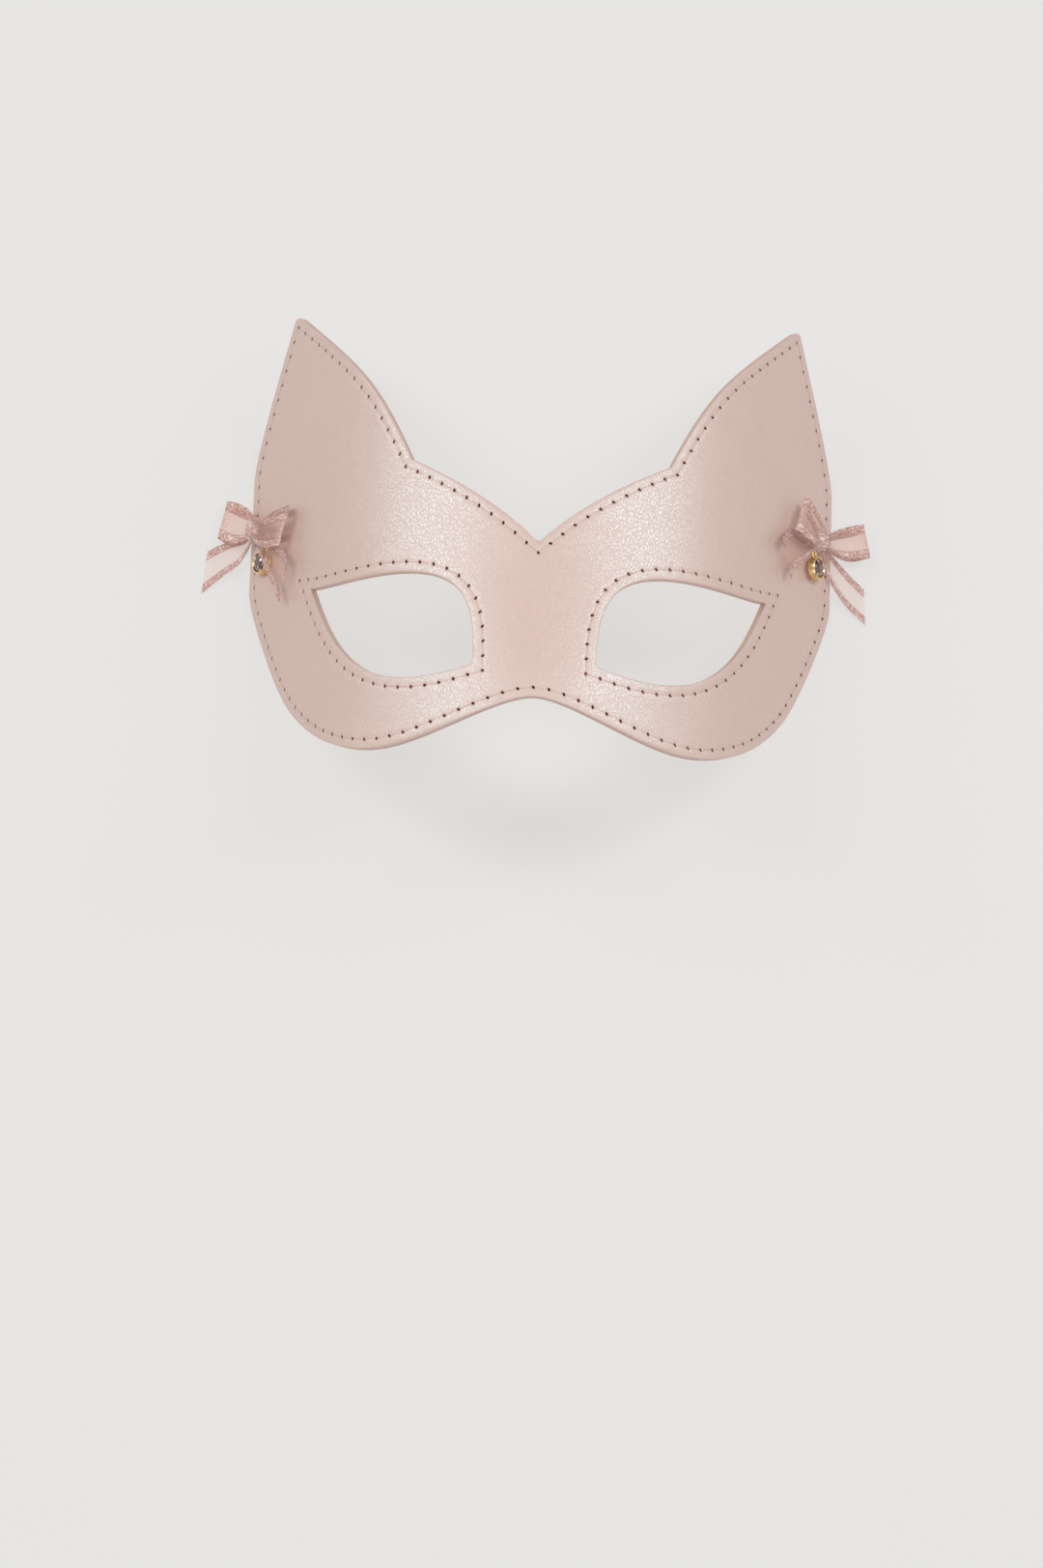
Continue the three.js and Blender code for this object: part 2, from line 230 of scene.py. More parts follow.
notch_edge = curve(NOTCH, (0.9, 8.3), (1.6, 9.3), BROW)
brow_line = curve(BROW, (12, 19), (25, 27), EAR_NOTCH)
brow_edge = np.concatenate([notch_edge[:-1], brow_line])
ear_edge = curve(EAR_NOTCH, (50.5, 60), (58, 64), EAR_TIP_IN)
tip_edge = curve(EAR_TIP_IN, (84.6, 83.8), (86, 83.6), EAR_TIP_OUT)
cheek_edge = np.concatenate([
    curve(EAR_TIP_OUT, (92, 70), (SIDE_REACH, 47.5), SIDE_TOP),
    curve(SIDE_FOOT, (SIDE_REACH, 3), (90.5, -18.5), CHEEK, (77.3, -36.1), (59, -47), LOBE,
          (27.5, -46.9), (9, -35.5), NOSE),
])
eye_top = curve(EYE_INNER, (16.6, -10.5), (19.5, -3), EYE_TOP, (41.5, 3), (60, 0.6), EYE_OUTER)
eye_corner = curve(EYE_INNER, (16.6, -26), (17.6, -26.6), EYE_INNER_FOOT)
eye_foot = curve(EYE_INNER_FOOT, (49.5, -34.7), (63.6, -14.2), EYE_OUTER)


def mirrored(loop):
    """The same line on the other half of the pattern, run the other way."""
    return (loop * (-1, 1))[::-1]


def chained(*lines):
    """Lines end to end as one closed loop, each without its last point."""
    return np.concatenate([line[:-1] for line in lines])


EDGE_STEP = 0.45
TIP_STEP = 0.2
CORNER_STEP = 0.25
half = [
    spaced(line, step)
    for line, step in (
        (brow_edge, EDGE_STEP), (ear_edge, EDGE_STEP), (tip_edge, TIP_STEP), (cheek_edge, EDGE_STEP)
    )
]
outline = chained(*half, *(mirrored(line) for line in half[::-1]))
right_eye = chained(
    spaced(eye_corner, CORNER_STEP), spaced(eye_foot, EDGE_STEP), spaced(eye_top, EDGE_STEP)[::-1]
)
LOOPS = [outline, right_eye, mirrored(right_eye)]


def cross2(a, b):
    """The cross product of flat vectors, which is one number for each pair."""
    return a[..., 0] * b[..., 1] - a[..., 1] * b[..., 0]


def beside(line, distance, before=0, after=0):
    """The line moved to its right by a distance, and carried on straight by a length at either end."""
    moved = line + right_of(line) * distance
    parts = [moved]
    if before:
        parts.insert(0, [moved[0] + unit(moved[0] - moved[1]) * before])
    if after:
        parts.append([moved[-1] + unit(moved[-1] - moved[-2]) * after])
    return np.concatenate(parts)


def met(first, second):
    """Two lines cut off where the first one crosses the second."""
    a, b = first[:-1, None], first[1:, None]
    c, d = second[None, :-1], second[None, 1:]
    turn = cross2(b - a, d - c)
    turn = np.where(np.abs(turn) < 1e-12, 1e-12, turn)
    s, t = cross2(c - a, d - c) / turn, cross2(c - a, b - a) / turn
    hit = np.argwhere((s >= 0) & (s <= 1) & (t >= 0) & (t <= 1))
    i, j = hit[-1]
    corner = first[i] + (first[i + 1] - first[i]) * s[i, j]
    return np.concatenate([first[: i + 1], [corner]]), np.concatenate([[corner], second[j + 1:]])


def stitched(*lines):
    """Needle holes at equal lengths on each line, with one at each end, as one loop."""
    return chained(*(spaced(line, STITCH) for line in lines))


# How far a seam runs on past its end before it is cut off where it crosses the next one.
OVERRUN = 6.0
brow_seam = np.concatenate([[NOTCH_HOLE], beside(brow_line, SEAM_FROM_EDGE, after=OVERRUN)])
brow_seam, ear_seam = met(brow_seam, beside(ear_edge, SEAM_FROM_EDGE, before=OVERRUN))
ear_seam, cheek_seam = met(ear_seam, beside(cheek_edge, SEAM_FROM_EDGE))
foot_seam = beside(eye_foot, SEAM_FROM_EYE, OVERRUN, OVERRUN)
top_seam = beside(eye_top[::-1], SEAM_FROM_EYE, OVERRUN, OVERRUN)
foot_seam, top_seam = met(foot_seam, top_seam)
top_seam, foot_seam = met(top_seam, foot_seam)
half_seam = [brow_seam, ear_seam, cheek_seam]
outer_holes = stitched(*half_seam, *(mirrored(line) for line in half_seam[::-1]))
eye_holes = stitched(foot_seam, top_seam)
SEAMS = [outer_holes, eye_holes, mirrored(eye_holes)]


# Finishes.
class Amount:
    """A number, colour or place in a material's nodes. Arithmetic on numbers adds Math nodes."""

    def __init__(self, finish, socket):
        self.finish, self.socket = finish, socket

    def worked(self, operation, *values):
        return self.finish.node("Math", {"operation": operation}, dict(enumerate(values)))

    def __add__(self, other):
        return self.worked("ADD", self, other)

    def __sub__(self, other):
        return self.worked("SUBTRACT", self, other)

    def __rsub__(self, other):
        return self.worked("SUBTRACT", other, self)

    def __mul__(self, other):
        return self.worked("MULTIPLY", self, other)

    def __abs__(self):
        return self.worked("ABSOLUTE", self)

    def sine(self):
        return self.worked("SINE", self)

    def larger(self, other):
        return self.worked("MAXIMUM", self, other)

    __radd__ = __add__
    __rmul__ = __mul__


class Finish:
    """A material that is built up from nodes."""

    def __init__(self, name):
        self.material = bpy.data.materials.new(name)
        self.material.use_nodes = True
        self.tree = self.material.node_tree
        self.tree.nodes.clear()

    def node(self, kind, settings=None, inputs=None, output=0):
        """Adds any node: its settings first, then the values or links of its sockets."""
        made = self.tree.nodes.new("ShaderNode" + kind)
        for key, value in (settings or {}).items():
            setattr(made, key, value)
        for key, value in (inputs or {}).items():
            if isinstance(value, Amount):
                self.tree.links.new(value.socket, made.inputs[key])
            else:
                made.inputs[key].default_value = value
        return Amount(self, made.outputs[output])

    def step(self, value, low, high):
        """A smooth step from 0 where a number is low to 1 where it is high."""
        return self.node(
            "MapRange", {"interpolation_type": "SMOOTHSTEP"}, {0: value, 1: low, 2: high}
        )

    def mixed(self, share, first, second):
        """The first colour turned into the second by a share."""
        first, second = ((*c, 1) if isinstance(c, tuple) else c for c in (first, second))
        return self.node("Mix", {"data_type": "RGBA"}, {0: share, 6: first, 7: second}, 2)

    def noise(self, place, size, detail=2.0, roughness=0.5, output=0):
        """Noise whose blobs have a size in the units of the place."""
        return self.node(
            "TexNoise", None,
            {"Vector": place, "Scale": 1 / size, "Detail": detail, "Roughness": roughness}, output,
        )

    def mark(self, name):
        """A mark of the mesh, which is one number for each point or face."""
        return self.node("Attribute", {"attribute_name": name}, None, "Fac")

    def pattern(self):
        """The place on the piece's own map, and its two numbers apart."""
        flat = self.node("UVMap", {"uv_map": "pattern"})
        first = self.node("SeparateXYZ", None, {0: flat})
        return flat, first, Amount(self, first.socket.node.outputs[1])

    def surface(self, colour, roughness, height=None, depth=0.0, sheer=None, **constants):
        """The closing shader, with the surface raised by a height times a depth in metres. Sheer is the
        tint of the light that gets through and the share of the surface that stops it."""
        inputs = {"Base Color": colour, "Roughness": roughness}
        inputs.update({key.replace("_", " "): value for key, value in constants.items()})
        if height is not None:
            inputs["Normal"] = self.node("Bump", None, {"Height": height, "Distance": depth})
        shader = self.node("BsdfPrincipled", None, inputs)
        if sheer is not None:
            tint, cover = sheer
            clear = self.node("BsdfTransparent", None, {"Color": (*tint, 1)})
            shader = self.node("MixShader", None, {0: cover, 1: clear, 2: shader})
        closing = self.tree.nodes.new("ShaderNodeOutputMaterial")
        self.tree.links.new(shader.socket, closing.inputs["Surface"])
        return self.material


def shade(red, green, blue):
    """A screen colour from 0 to 255 as the light it stands for."""
    return tuple(((c / 255 + 0.055) / 1.055) ** 2.4 for c in (red, green, blue))


def scaled(colour, share):
    """A colour times a share, with 1 as the most that each part can be."""
    return tuple(min(c * share, 1) for c in colour)


UV_UNIT = 100.0  # millimetres in one unit of the pattern map
RIBBON_WIDTH = 10.0
SATIN_WIDTH = 2.2
SHEER_TINT = (0.994, 0.962, 0.948)
COOL_GLOSS = (0.6, 0.94, 1, 1)
THREAD_TWIST = 0.45  # millimetres of thread in one turn of its strands


def leather_finish(name, colour, deep, roughness, grain, depth, level):
    """Fine-grained leather: small drawn-out cells with thin creases between them, bent by noise, over
    finer pores and slow changes of colour and shine. The creases lean to the deep colour, as painted
    shade. The mark edge turns it into the pale fibres of a cut edge, and the mark hole into the dark
    red painted shade inside a needle hole, which also loses its pale gloss. Grain is a cell's size and
    depth the height of the relief, both in millimetres, and level is the strength of the gloss."""
    f = Finish(name)
    flat = f.node("UVMap", {"uv_map": "pattern"})
    drift = f.noise(flat, 4.5 / UV_UNIT, 2, 0.5, "Color")
    bent_place = f.node(
        "VectorMath", {"operation": "MULTIPLY_ADD"}, {0: drift, 1: (0.02, 0.02, 0), 2: flat}
    )
    drawn = f.node(
        "Mapping", None, {"Vector": bent_place, "Rotation": (0, 0, 0.25), "Scale": (1, 0.55, 1)}
    )
    cells = f.node(
        "TexVoronoi", {"feature": "DISTANCE_TO_EDGE"}, {"Vector": drawn, "Scale": UV_UNIT / grain}
    )
    pebble = f.step(cells, 0.0, 0.16)
    pores = f.noise(flat, 0.33 / UV_UNIT, 3, 0.6)
    folds = f.noise(drawn, 1.5 / UV_UNIT, 3, 0.6)
    slow = f.noise(flat, 17 / UV_UNIT, 3, 0.5)
    hole = f.mark("hole")
    edge = f.mark("edge")
    # The creases lean to the deep colour, a painted shade; the slow noise varies the tone at random.
    tone = f.mixed(pebble * 0.45 + slow * 0.55, deep, colour)
    fibre = f.mixed(f.noise(flat, 0.5 / UV_UNIT, 3), scaled(deep, 0.95), scaled(deep, 1.2))
    tone = f.mixed(edge, tone, fibre)
    # Painted shade: the inside of each needle hole is dark red, and Metallic=hole below takes its pale
    # gloss away.
    tone = f.mixed(hole, tone, shade(132, 40, 32))
    height = pebble + pores * 0.3 + folds * 0.6
    shine = roughness + 0.1 * (slow - 0.5) + 0.13 * (1 - pebble) + 0.3 * edge
    return f.surface(
        tone, shine, height, depth * MM, Metallic=hole, IOR=1.9, Specular_IOR_Level=level,
        Specular_Tint=COOL_GLOSS,
    )


def thread_finish():
    """Twisted thread: slanting strands as a sine of the place round it and along it."""
    f = Finish("pink_thread")
    _, around, along = f.pattern()
    twist = (around * (2 * math.pi) + along * (2 * math.pi * UV_UNIT / THREAD_TWIST)).sine()
    tone = f.mixed(twist * 0.5 + 0.5, shade(190, 152, 141), shade(214, 184, 174))
    return f.surface(tone, 0.55, twist, 0.03 * MM, Sheen_Weight=0.3)


def metal_finish():
    """Polished gold with faint rubbing marks."""
    f = Finish("polished_gold")
    place = f.node("TexCoord", None, None, "Object")
    rub = f.noise(place, 0.9 * MM, 4, 0.6)
    tone = f.mixed(rub, shade(236, 200, 140), shade(250, 222, 170))
    return f.surface(tone, 0.1 + 0.14 * rub, rub, 0.004 * MM, Metallic=1.0)


def crystal_finish():
    """Smoky cut crystal over foil: each facet has its own share of dark glass and of a pale flash that
    stands for light reflected inside the stone, a painted reflection.
    """
    f = Finish("smoky_crystal")
    painted_flash = f.mark("painted_flash")
    tone = f.mixed(painted_flash, shade(52, 38, 38), shade(226, 196, 192))
    cloud = f.noise(f.node("TexCoord", None, None, "Object"), 0.8 * MM, 2)
    tone = f.mixed(cloud * 0.35, tone, shade(120, 84, 78))
    return f.surface(
        tone, 0.04 + 0.05 * cloud, Metallic=0.75, Coat_Weight=1.0, Coat_Roughness=0.02
    )


def ribbon_finish():
    """Sheer ribbon with a satin band along each edge. The map's first axis runs across the ribbon and
    its second along it. The sheer part is a net of fine threads. The bands are twill, whose short
    floats lie in slanting rows, with painted glints: near-white highlights here and there. The mark
    fold is high where the ribbon is folded or tied, which lets less light through, takes the satin's
    colour and brings more painted glints."""
    f = Finish("rose_ribbon")
    flat, across, along = f.pattern()
    across = across * UV_UNIT
    along = along * UV_UNIT
    from_edge = RIBBON_WIDTH / 2 - abs(across)
    satin = 1 - f.step(from_edge, SATIN_WIDTH - 0.1, SATIN_WIDTH + 0.1)
    border = (1 - f.step(from_edge, 0.1, 0.3)).larger(1 - f.step(abs(from_edge - SATIN_WIDTH), 0.05, 0.3))
    rows = (across * (2 * math.pi / 0.32) + along * (2 * math.pi / 0.5)).sine()
    floats = (along * (2 * math.pi / 0.85) - across * (2 * math.pi / 1.1)).sine()
    warp = (across * (2 * math.pi / 0.27)).sine()
    weft = (along * (2 * math.pi / 0.27)).sine()
    net = f.step(warp.larger(weft), 0.1, 0.9)
    grains = f.noise(flat, 0.5 / UV_UNIT, 2, 0.7)
    facets = f.node("TexVoronoi", None, {"Vector": flat, "Scale": UV_UNIT / 0.34}, "Color")
    facet = f.node("SeparateColor", None, {0: facets})
    fold = f.mark("fold")
    # Painted highlights: near-white glints here and there on the satin, more where the fold mark is high.
    painted_glints = f.step(facet + floats * 0.12 + fold * 0.35, 0.55, 0.9)
    sheer_tone = f.mixed(net, shade(219, 182, 171), shade(227, 200, 191))
    satin_tone = f.mixed(f.step(grains, 0.35, 0.6), shade(186, 124, 110), shade(209, 154, 141))
    satin_tone = f.mixed(painted_glints, satin_tone, shade(252, 236, 230))
    tone = f.mixed(satin.larger(fold * 0.6), sheer_tone, satin_tone)
    tone = f.mixed(border * 0.5, tone, shade(180, 122, 110))
    cover = (satin * 0.7).larger(border * 0.5).larger(net * 0.14 + 0.04 + fold * 0.4)
    height = satin * (rows * 0.4 + floats * 0.4 + facet * 2.5) + (1 - satin) * (warp + weft) * 0.15
    shine = 0.42 - 0.14 * satin
    return f.surface(
        tone, shine, height, 0.05 * MM, (SHEER_TINT, cover), Specular_IOR_Level=0.9, Sheen_Weight=0.3,
        Sheen_Roughness=0.35,
    )


front_leather = leather_finish(
    "pink_leather", shade(217, 184, 172), shade(209, 175, 163), 0.345, 0.75, 0.024, 0.68
)
lining_leather = leather_finish(
    "pink_lining", shade(208, 182, 172), shade(196, 168, 158), 0.62, 1.3, 0.05, 0.25
)
pink_thread = thread_finish()
gold = metal_finish()
rose_ribbon = ribbon_finish()
smoky_crystal = crystal_finish()

# The leather plies.
ALL_HOLES = np.concatenate(SEAMS)
NEXT_HOLES = np.concatenate([np.roll(s, -1, 0) for s in SEAMS])
CHORDS = NEXT_HOLES - ALL_HOLES
CHORD_LENGTHS = np.linalg.norm(CHORDS, axis=1)
CHORD_WAYS = CHORDS / CHORD_LENGTHS[:, None]
CHORD_SIDES = np.stack([CHORD_WAYS[:, 1], -CHORD_WAYS[:, 0]], -1)
SEAM_STARTS = np.cumsum([len(s) for s in SEAMS])[:-1]
WAYS_BEFORE = np.concatenate([np.roll(ways, 1, 0) for ways in np.split(CHORD_WAYS, SEAM_STARTS)])
HOLE_WAYS = unit(CHORD_WAYS + WAYS_BEFORE)
HOLE_RINGS = (0.42, 0.78, 1.0, 1.22, 1.6)  # sizes of the rings of points, 1 at a hole's edge
ROWS_ASIDE = (0, 0.2, -0.2, 0.42, -0.42, 0.75, -0.75)  # millimetres from the seam
ROW_FROM_HOLE = 0.72
POINTS_ROUND = 12
PATTERN_FOOT = -50
PATTERN_HEAD = 86
RIM_INSET = 0.35
RIM_CLEARANCE = 0.42
FACE_STEP = 1.15
GLUE_INSET = 0.2
GLUE_CLEARANCE = 1.2
GLUE_STEP = 5.0
BLOCK = 4096


def inset(loop, distance):
    """A closed loop moved into the leather along the mean normal of each point's two sides."""
    way = unit(np.roll(loop, -1, 0) - np.roll(loop, 1, 0))
    return loop + np.stack([way[:, 1], -way[:, 0]], -1) * distance


def in_blocks(work, points):
    """An array worked out for a few thousand points at a time."""
    return np.concatenate([work(points[i:i + BLOCK]) for i in range(0, len(points), BLOCK)])


def nearest(points, places):
    """The number of the place nearest to each point: the one with the least squared length less twice
    its product with the point."""

    def work(p):
        return np.argmin((places**2).sum(1) - 2 * p @ places.T, axis=1)

    return in_blocks(work, points)


def seam_distance(points):
    """The distance from each point to the nearest straight stitch."""

    def work(p):
        to_point = p[:, None] - ALL_HOLES
        share = np.clip((to_point * CHORD_WAYS).sum(-1), 0, CHORD_LENGTHS)
        gap = to_point - share[..., None] * CHORD_WAYS
        return np.sqrt((gap**2).sum(-1).min(1))

    return in_blocks(work, points)


def inside(points, loops):
    """Whether each point lies on the leather: a line to the right of it crosses the loops an odd
    number of times."""
    a = np.concatenate(loops)
    b = np.concatenate([np.roll(loop, -1, 0) for loop in loops])

    def work(p):
        over = (a[:, 1] > p[:, 1:]) != (b[:, 1] > p[:, 1:])
        rise = np.where(b[:, 1] == a[:, 1], 1, b[:, 1] - a[:, 1])
        reach = a[:, 0] + (p[:, 1:] - a[:, 1]) * (b[:, 0] - a[:, 0]) / rise
        return (over & (p[:, :1] < reach)).sum(1) % 2 == 1

    return in_blocks(work, points)


def lattice(spacing):
    """Points at the corners of equal triangles over the whole pattern, and a little past its ends."""
    x = np.arange(-SIDE_REACH, SIDE_REACH, spacing)
    y = np.arange(PATTERN_FOOT, PATTERN_HEAD, spacing * math.sqrt(0.75))
    grid = np.stack(np.meshgrid(x, y), -1)
    grid[1::2, :, 0] += spacing / 2
    return grid.reshape(-1, 2)


def hole_frames():
    """The long and short directions of every needle hole, slanted to the seam."""
    side = np.stack([HOLE_WAYS[:, 1], -HOLE_WAYS[:, 0]], -1)
    long = HOLE_WAYS * math.sin(HOLE_SLANT) + side * math.cos(HOLE_SLANT)
    return long, np.stack([long[:, 1], -long[:, 0]], -1)


def seam_points():
    """Rings of points round every needle hole, and rows of points beside every stitch between them."""
    long, short = hole_frames()
    turn = np.linspace(0, 2 * math.pi, POINTS_ROUND, endpoint=False)
    rings = [ALL_HOLES]
    for k, size in enumerate(HOLE_RINGS):
        angle = turn + k * math.pi / POINTS_ROUND
        a, b = np.cos(angle)[:, None], np.sin(angle)[:, None]
        blend = min(max((size - 1) / (HOLE_RINGS[-1] - 1), 0), 1)
        wide = size * HOLE_LONG
        thin = size * (HOLE_SHORT + (HOLE_LONG - HOLE_SHORT) * blend)
        ring = ALL_HOLES[:, None] + a * long[:, None] * wide + b * short[:, None] * thin
        rings.append(ring.reshape(-1, 2))
    rows = []
    share = np.linspace(0, 1, POINTS_ROUND, endpoint=False) + 1 / (2 * POINTS_ROUND)
    for aside in ROWS_ASIDE:
        row = ALL_HOLES[:, None] + share[:, None] * CHORDS[:, None] + aside * CHORD_SIDES[:, None]
        row = row.reshape(-1, 2)
        clear = np.linalg.norm(row - ALL_HOLES[nearest(row, ALL_HOLES)], axis=1) > ROW_FROM_HOLE
        rows.append(row[clear & (seam_distance(row) > abs(aside) - 0.08)])
    return np.concatenate(rings + rows)


def triangles(loops, filling, clearance):
    """The leather between the loops cut into triangles whose corners are the loops' own points and
    those of the filling that lie at least a clearance away from them."""
    rim = np.concatenate(loops)
    filling = filling[inside(filling, loops)]
    filling = filling[np.linalg.norm(filling - rim[nearest(filling, rim)], axis=1) > clearance]
    points = np.concatenate([rim, filling])
    starts = np.cumsum([0] + [len(loop) for loop in loops])
    edges = np.concatenate([
        np.stack([np.arange(a, b), a + (np.arange(b - a) + 1) % (b - a)], -1)
        for a, b in zip(starts, starts[1:])
    ])
    made = delaunay_2d_cdt(points.tolist(), edges.tolist(), [], 0, 1e-7, False)
    if len(made[0]) != len(points):
        raise ValueError("two points of the leather's pattern lie on each other")
    faces = np.array(made[2])
    on_rim = (faces < len(rim)).all(1)
    middle = points[faces[on_rim]].mean(1)
    keep = np.ones(len(faces), bool)
    keep[np.flatnonzero(on_rim)] = inside(middle, loops)
    faces = faces[keep]
    corner = points[faces]
    turned = cross2(corner[:, 1] - corner[:, 0], corner[:, 2] - corner[:, 0]) < 0
    faces[turned] = faces[turned][:, ::-1]
    return points, faces


def relief(points):
    """How far the shown face stands above its bent surface, and the share of a needle hole: a shallow
    groove along the seam, a dimple pulled in at each hole, a pit in it, a border that swells between
    seam and edge, and slow unevenness from a few sines."""
    aside = seam_distance(points)
    number = nearest(points, ALL_HOLES)
    gap = points - ALL_HOLES[number]
    long, short = hole_frames()
    a = (gap * long[number]).sum(1) / HOLE_LONG
    b = (gap * short[number]).sum(1) / HOLE_SHORT
    ring = np.hypot(a, b)
    reach = np.linalg.norm(gap, axis=1)
    pit = smooth((1.15 - ring) / 0.55)
    x, y = points.T
    uneven = (
        np.sin(x / 4.3 + 1.7 * np.sin(y / 9.1)) * np.sin(y / 5.7 + 0.8) * 0.5
        + np.sin(x / 2.1 - y / 3.3 + np.sin(y / 4.0)) * 0.2
        + np.sin(x / 7.9 + y / 6.1) * 0.4
    )
    groove = 0.025 * np.exp(-((aside / 0.45) ** 2))
    dimple = 0.07 * np.exp(-((reach / 0.8) ** 2))
    border = 0.04 * np.exp(-(((aside - 1.15) / 0.6) ** 2))
    height = 0.035 * uneven - groove - dimple + border
    return height - HOLE_DEPTH * pit, smooth((1.3 - ring) / 0.35)


rim_loops = [inset(loop, RIM_INSET) for loop in LOOPS]
glue_loops = [inset(loop, GLUE_INSET) for loop in LOOPS]
coarse = lattice(FACE_STEP)
coarse = coarse[seam_distance(coarse) > FACE_STEP]
filling = np.concatenate([seam_points(), coarse])
shown_points, shown_faces = triangles(rim_loops, filling, RIM_CLEARANCE)
glued_points, glued_faces = triangles(glue_loops, lattice(GLUE_STEP), GLUE_CLEARANCE)
RIM_POINTS = sum(len(loop) for loop in LOOPS)


def ply(name, node, material, shown, glued, side):
    """One ply of leather as a closed shell: the shown face with its relief, a cut edge that is rounded
    at both faces, and the face that is glued. Side is 1 where the shown face looks outwards. The edge's
    profile is its distance into the leather and its depth below the shown face."""
    thickness = abs(shown - glued)
    raised, hole = relief(shown_points)
    profile = [
        (0.2, 0.035), (0.08, 0.13), (0.01, 0.3),
        (0, thickness * 0.6), (0.02, thickness - 0.16), (0.09, thickness - 0.05),
    ]
    places = [shown_points] + [np.concatenate([inset(loop, i) for loop in LOOPS]) for i, _ in profile]
    heights = [shown + side * raised] + [np.full(RIM_POINTS, shown - side * depth) for _, depth in profile]
    places.append(glued_points)
    heights.append(np.full(len(glued_points), glued))
    starts = np.cumsum([0] + [len(p) for p in places])
    row_starts = [0, *starts[1:]][: len(profile) + 2]
    loop_starts = np.cumsum([0] + [len(loop) for loop in LOOPS])
    walls = []
    for upper, lower in zip(row_starts, row_starts[1:]):
        for a, b in zip(loop_starts, loop_starts[1:]):
            here = np.arange(a, b)
            after = a + (here - a + 1) % (b - a)
            walls.append(np.stack([upper + here, upper + after, lower + after, lower + here], -1))
    faces = [shown_faces, np.concatenate(walls), starts[-2] + glued_faces[:, ::-1]]
    if side < 0:
        faces = [f[:, ::-1] for f in faces]
    flat, height = np.concatenate(places), np.concatenate(heights)
    marks = {"hole": np.zeros(len(flat)), "edge": np.zeros(len(flat))}
    marks["hole"][: len(hole)] = hole
    marks["edge"][len(hole) + RIM_POINTS:] = 1
    piece = make_piece(name, on_leather(flat, height), faces, material, flat / UV_UNIT, marks)
    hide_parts(node)


ply("front_ply", "leather_front", front_leather, 0.0, -FRONT_LEATHER, 1)
ply(
    "lining_ply", "leather_lining", lining_leather, -LEATHER,
    -FRONT_LEATHER - GLUE_LINE, -1,
)


def stitches(name, face, side):
    """The thread on one face: for each stitch a round tube from hole to hole, whose height dives into
    the hole at both ends by a smooth step."""
    share = np.array([0.035, 0.075, 0.13, 0.3, 0.5, 0.7, 0.87, 0.925, 0.965])
    turn = np.linspace(0, 2 * math.pi, 6, endpoint=False)
    rise = smooth((np.minimum(share, 1 - share) - 0.05) / 0.09)
    level = THREAD_IN_HOLE + rise * (THREAD_ON_FACE - THREAD_IN_HOLE)
    flat = (
        ALL_HOLES[:, None, None]
        + share[:, None, None] * CHORDS[:, None, None]
        + np.cos(turn)[:, None] * THREAD_RADIUS * CHORD_SIDES[:, None, None]
    )
    height = np.broadcast_to(level[:, None] + np.sin(turn) * THREAD_RADIUS, flat.shape[:3])
    points = on_leather(flat.reshape(-1, 2), face + side * height.reshape(-1))
    one = grid_faces(len(share), len(turn), wrap_columns=True)
    first = np.arange(len(turn))[None, ::-1]
    caps = np.concatenate([first, first[:, ::-1] + (len(share) - 1) * len(turn)])
    base = (np.arange(len(ALL_HOLES)) * len(share) * len(turn))[:, None, None]
    faces = [(base + one).reshape(-1, 4), (base + caps).reshape(-1, len(turn))]
    if side > 0:
        faces = [f[:, ::-1] for f in faces]
    round_it = np.broadcast_to(turn / (2 * math.pi), flat.shape[:3]).reshape(-1)
    along = np.broadcast_to((share * STITCH / UV_UNIT)[:, None], flat.shape[:3]).reshape(-1)
    make_piece(name, points, faces, pink_thread, np.stack([round_it, along], -1))


stitches("front_thread", 0.0, 1)
stitches("back_thread", -LEATHER, -1)

# The bows.
# Places across the ribbon from one selvedge to the other, closer together in the satin bands, and half
# the ribbon's thickness at each.
ACROSS = np.concatenate([
    np.linspace(-1, -0.58, 6), np.linspace(-0.5, 0.5, 11), np.linspace(0.58, 1, 6)
])
HALF_THICKNESS = np.where(np.abs(ACROSS) > 0.54, 0.13, 0.06)
HALF_THICKNESS[[0, -1]] = 0.07
PLEATS = 2.3
PLEAT_DEPTH = 1.3
# The knot's fold mark, high so that the knot gets many painted glints.
KNOT_FOLD_AND_GLINTS = 0.85


def numbers(*values):
    """The values as one array."""
    return np.array(values, float)


def through(places, share):
    """A smooth curve through places, at shares of its length: a cubic between each two, whose
    direction at a place is that of the places on either side of it."""
    places = numbers(*places)
    stops = lengths_along(places)
    stops = stops / stops[-1]
    slope = np.gradient(places, stops, axis=0)
    k = np.clip(np.searchsorted(stops, share, side="right") - 1, 0, len(stops) - 2)
    span = (stops[k + 1] - stops[k])[:, None]
    u = (share - stops[k])[:, None] / span
    return (
        places[k] * (1 + 2 * u) * (1 - u) ** 2
        + slope[k] * span * u * (1 - u) ** 2
        + places[k + 1] * (3 - 2 * u) * u**2
        - slope[k + 1] * span * (1 - u) * u**2
    )


def between(low, high):
    """Rows straight across from one selvedge to the other, and the pleats that take up the width that
    is gathered there: a sine across the ribbon, deeper where the selvedges are closer."""
    share = ((ACROSS + 1) / 2)[None, :, None]
    gap = np.linalg.norm((high - low)[:, :2], axis=1)[:, None]
    gathered = np.clip(1 - gap / RIBBON_WIDTH, 0, 1) ** 1.5
    pleats = PLEAT_DEPTH * gathered * np.sin(PLEATS * math.pi * ACROSS + 0.6)
    return low[:, None] * (1 - share) + high[:, None] * share, pleats


